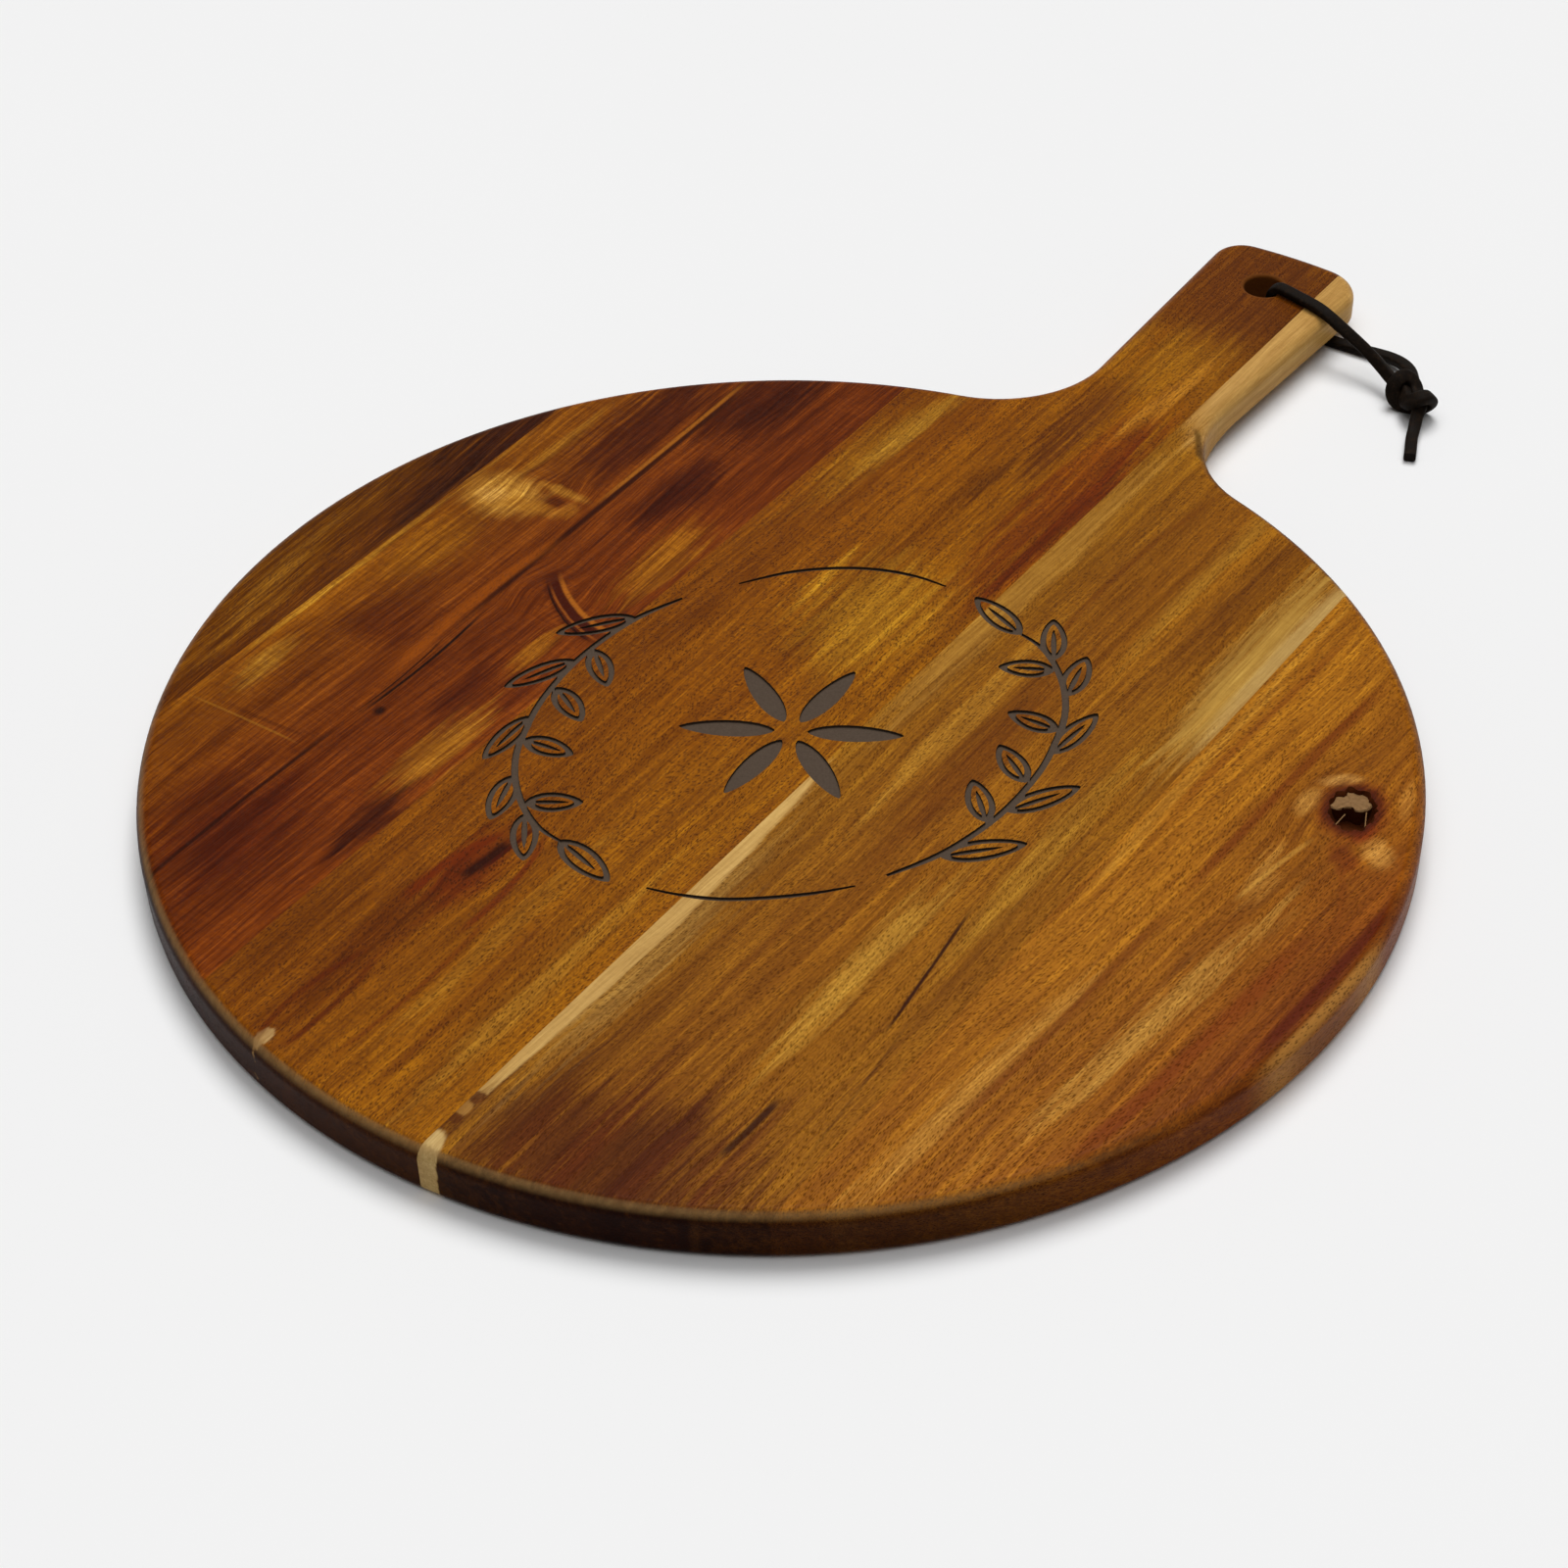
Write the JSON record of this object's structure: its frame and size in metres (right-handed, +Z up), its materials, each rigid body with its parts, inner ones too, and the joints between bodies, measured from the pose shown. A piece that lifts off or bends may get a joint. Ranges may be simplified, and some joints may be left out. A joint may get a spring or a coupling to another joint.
{
  "type": "serving paddle",
  "caption": "Round wooden serving paddle of edge-glued staves with a short flared handle, a hanging hole and a knotted leather lace, for serving and cutting food.",
  "frame": {"origin": "middle of the disc on its underside", "axes": "+Y from the disc's middle towards the handle's tip, +Z up through the thickness, +X to the right seen from above with the handle up"},
  "size_m": [0.356, 0.477, 0.0185],
  "materials": {
    "wood_dark": "oiled, satin",
    "wood_red": "oiled, satin",
    "wood_golden": "oiled, satin",
    "wood_light": "oiled, satin",
    "wood_orange": "oiled, satin",
    "lace": "matt"
  },
  "bodies": {
    "root": {"stave_left_edge": "wood_dark", "stave_left": "wood_red", "stave_middle": "wood_golden", "stave_right": "wood_light", "stave_right_edge": "wood_orange", "lace_upper_run": "lace", "lace_lower_run": "lace", "lace_knot": "lace"}
  },
  "joints": []
}
